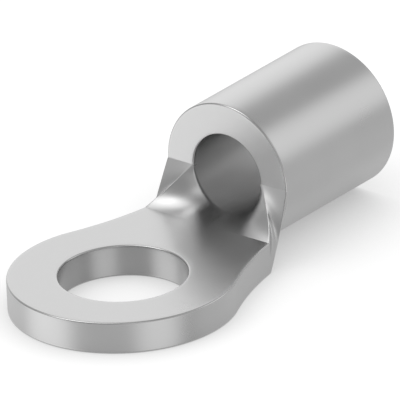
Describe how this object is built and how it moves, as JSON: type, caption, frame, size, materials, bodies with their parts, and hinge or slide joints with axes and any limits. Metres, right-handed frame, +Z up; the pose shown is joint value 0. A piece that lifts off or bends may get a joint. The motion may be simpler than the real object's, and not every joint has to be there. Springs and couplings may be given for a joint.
{
  "type": "uninsulated ring terminal",
  "caption": "Bare tinned copper ring terminal: a flat ring tongue with a stud hole, curling up at its neck into a short, thick-walled, seamless wire barrel.",
  "frame": {"origin": "centre of the stud hole, on the underside of the tongue", "axes": "+X from the stud hole to the wire barrel, along the wire; +Z up, out of the tongue's top face; the terminal mirrors about the XZ plane"},
  "size_m": [0.0131, 0.0066, 0.0043],
  "materials": {
    "tinned_copper": "satin tin plating over copper, tumbled"
  },
  "bodies": {
    "root": {"ring_terminal": "tinned_copper"}
  },
  "joints": []
}
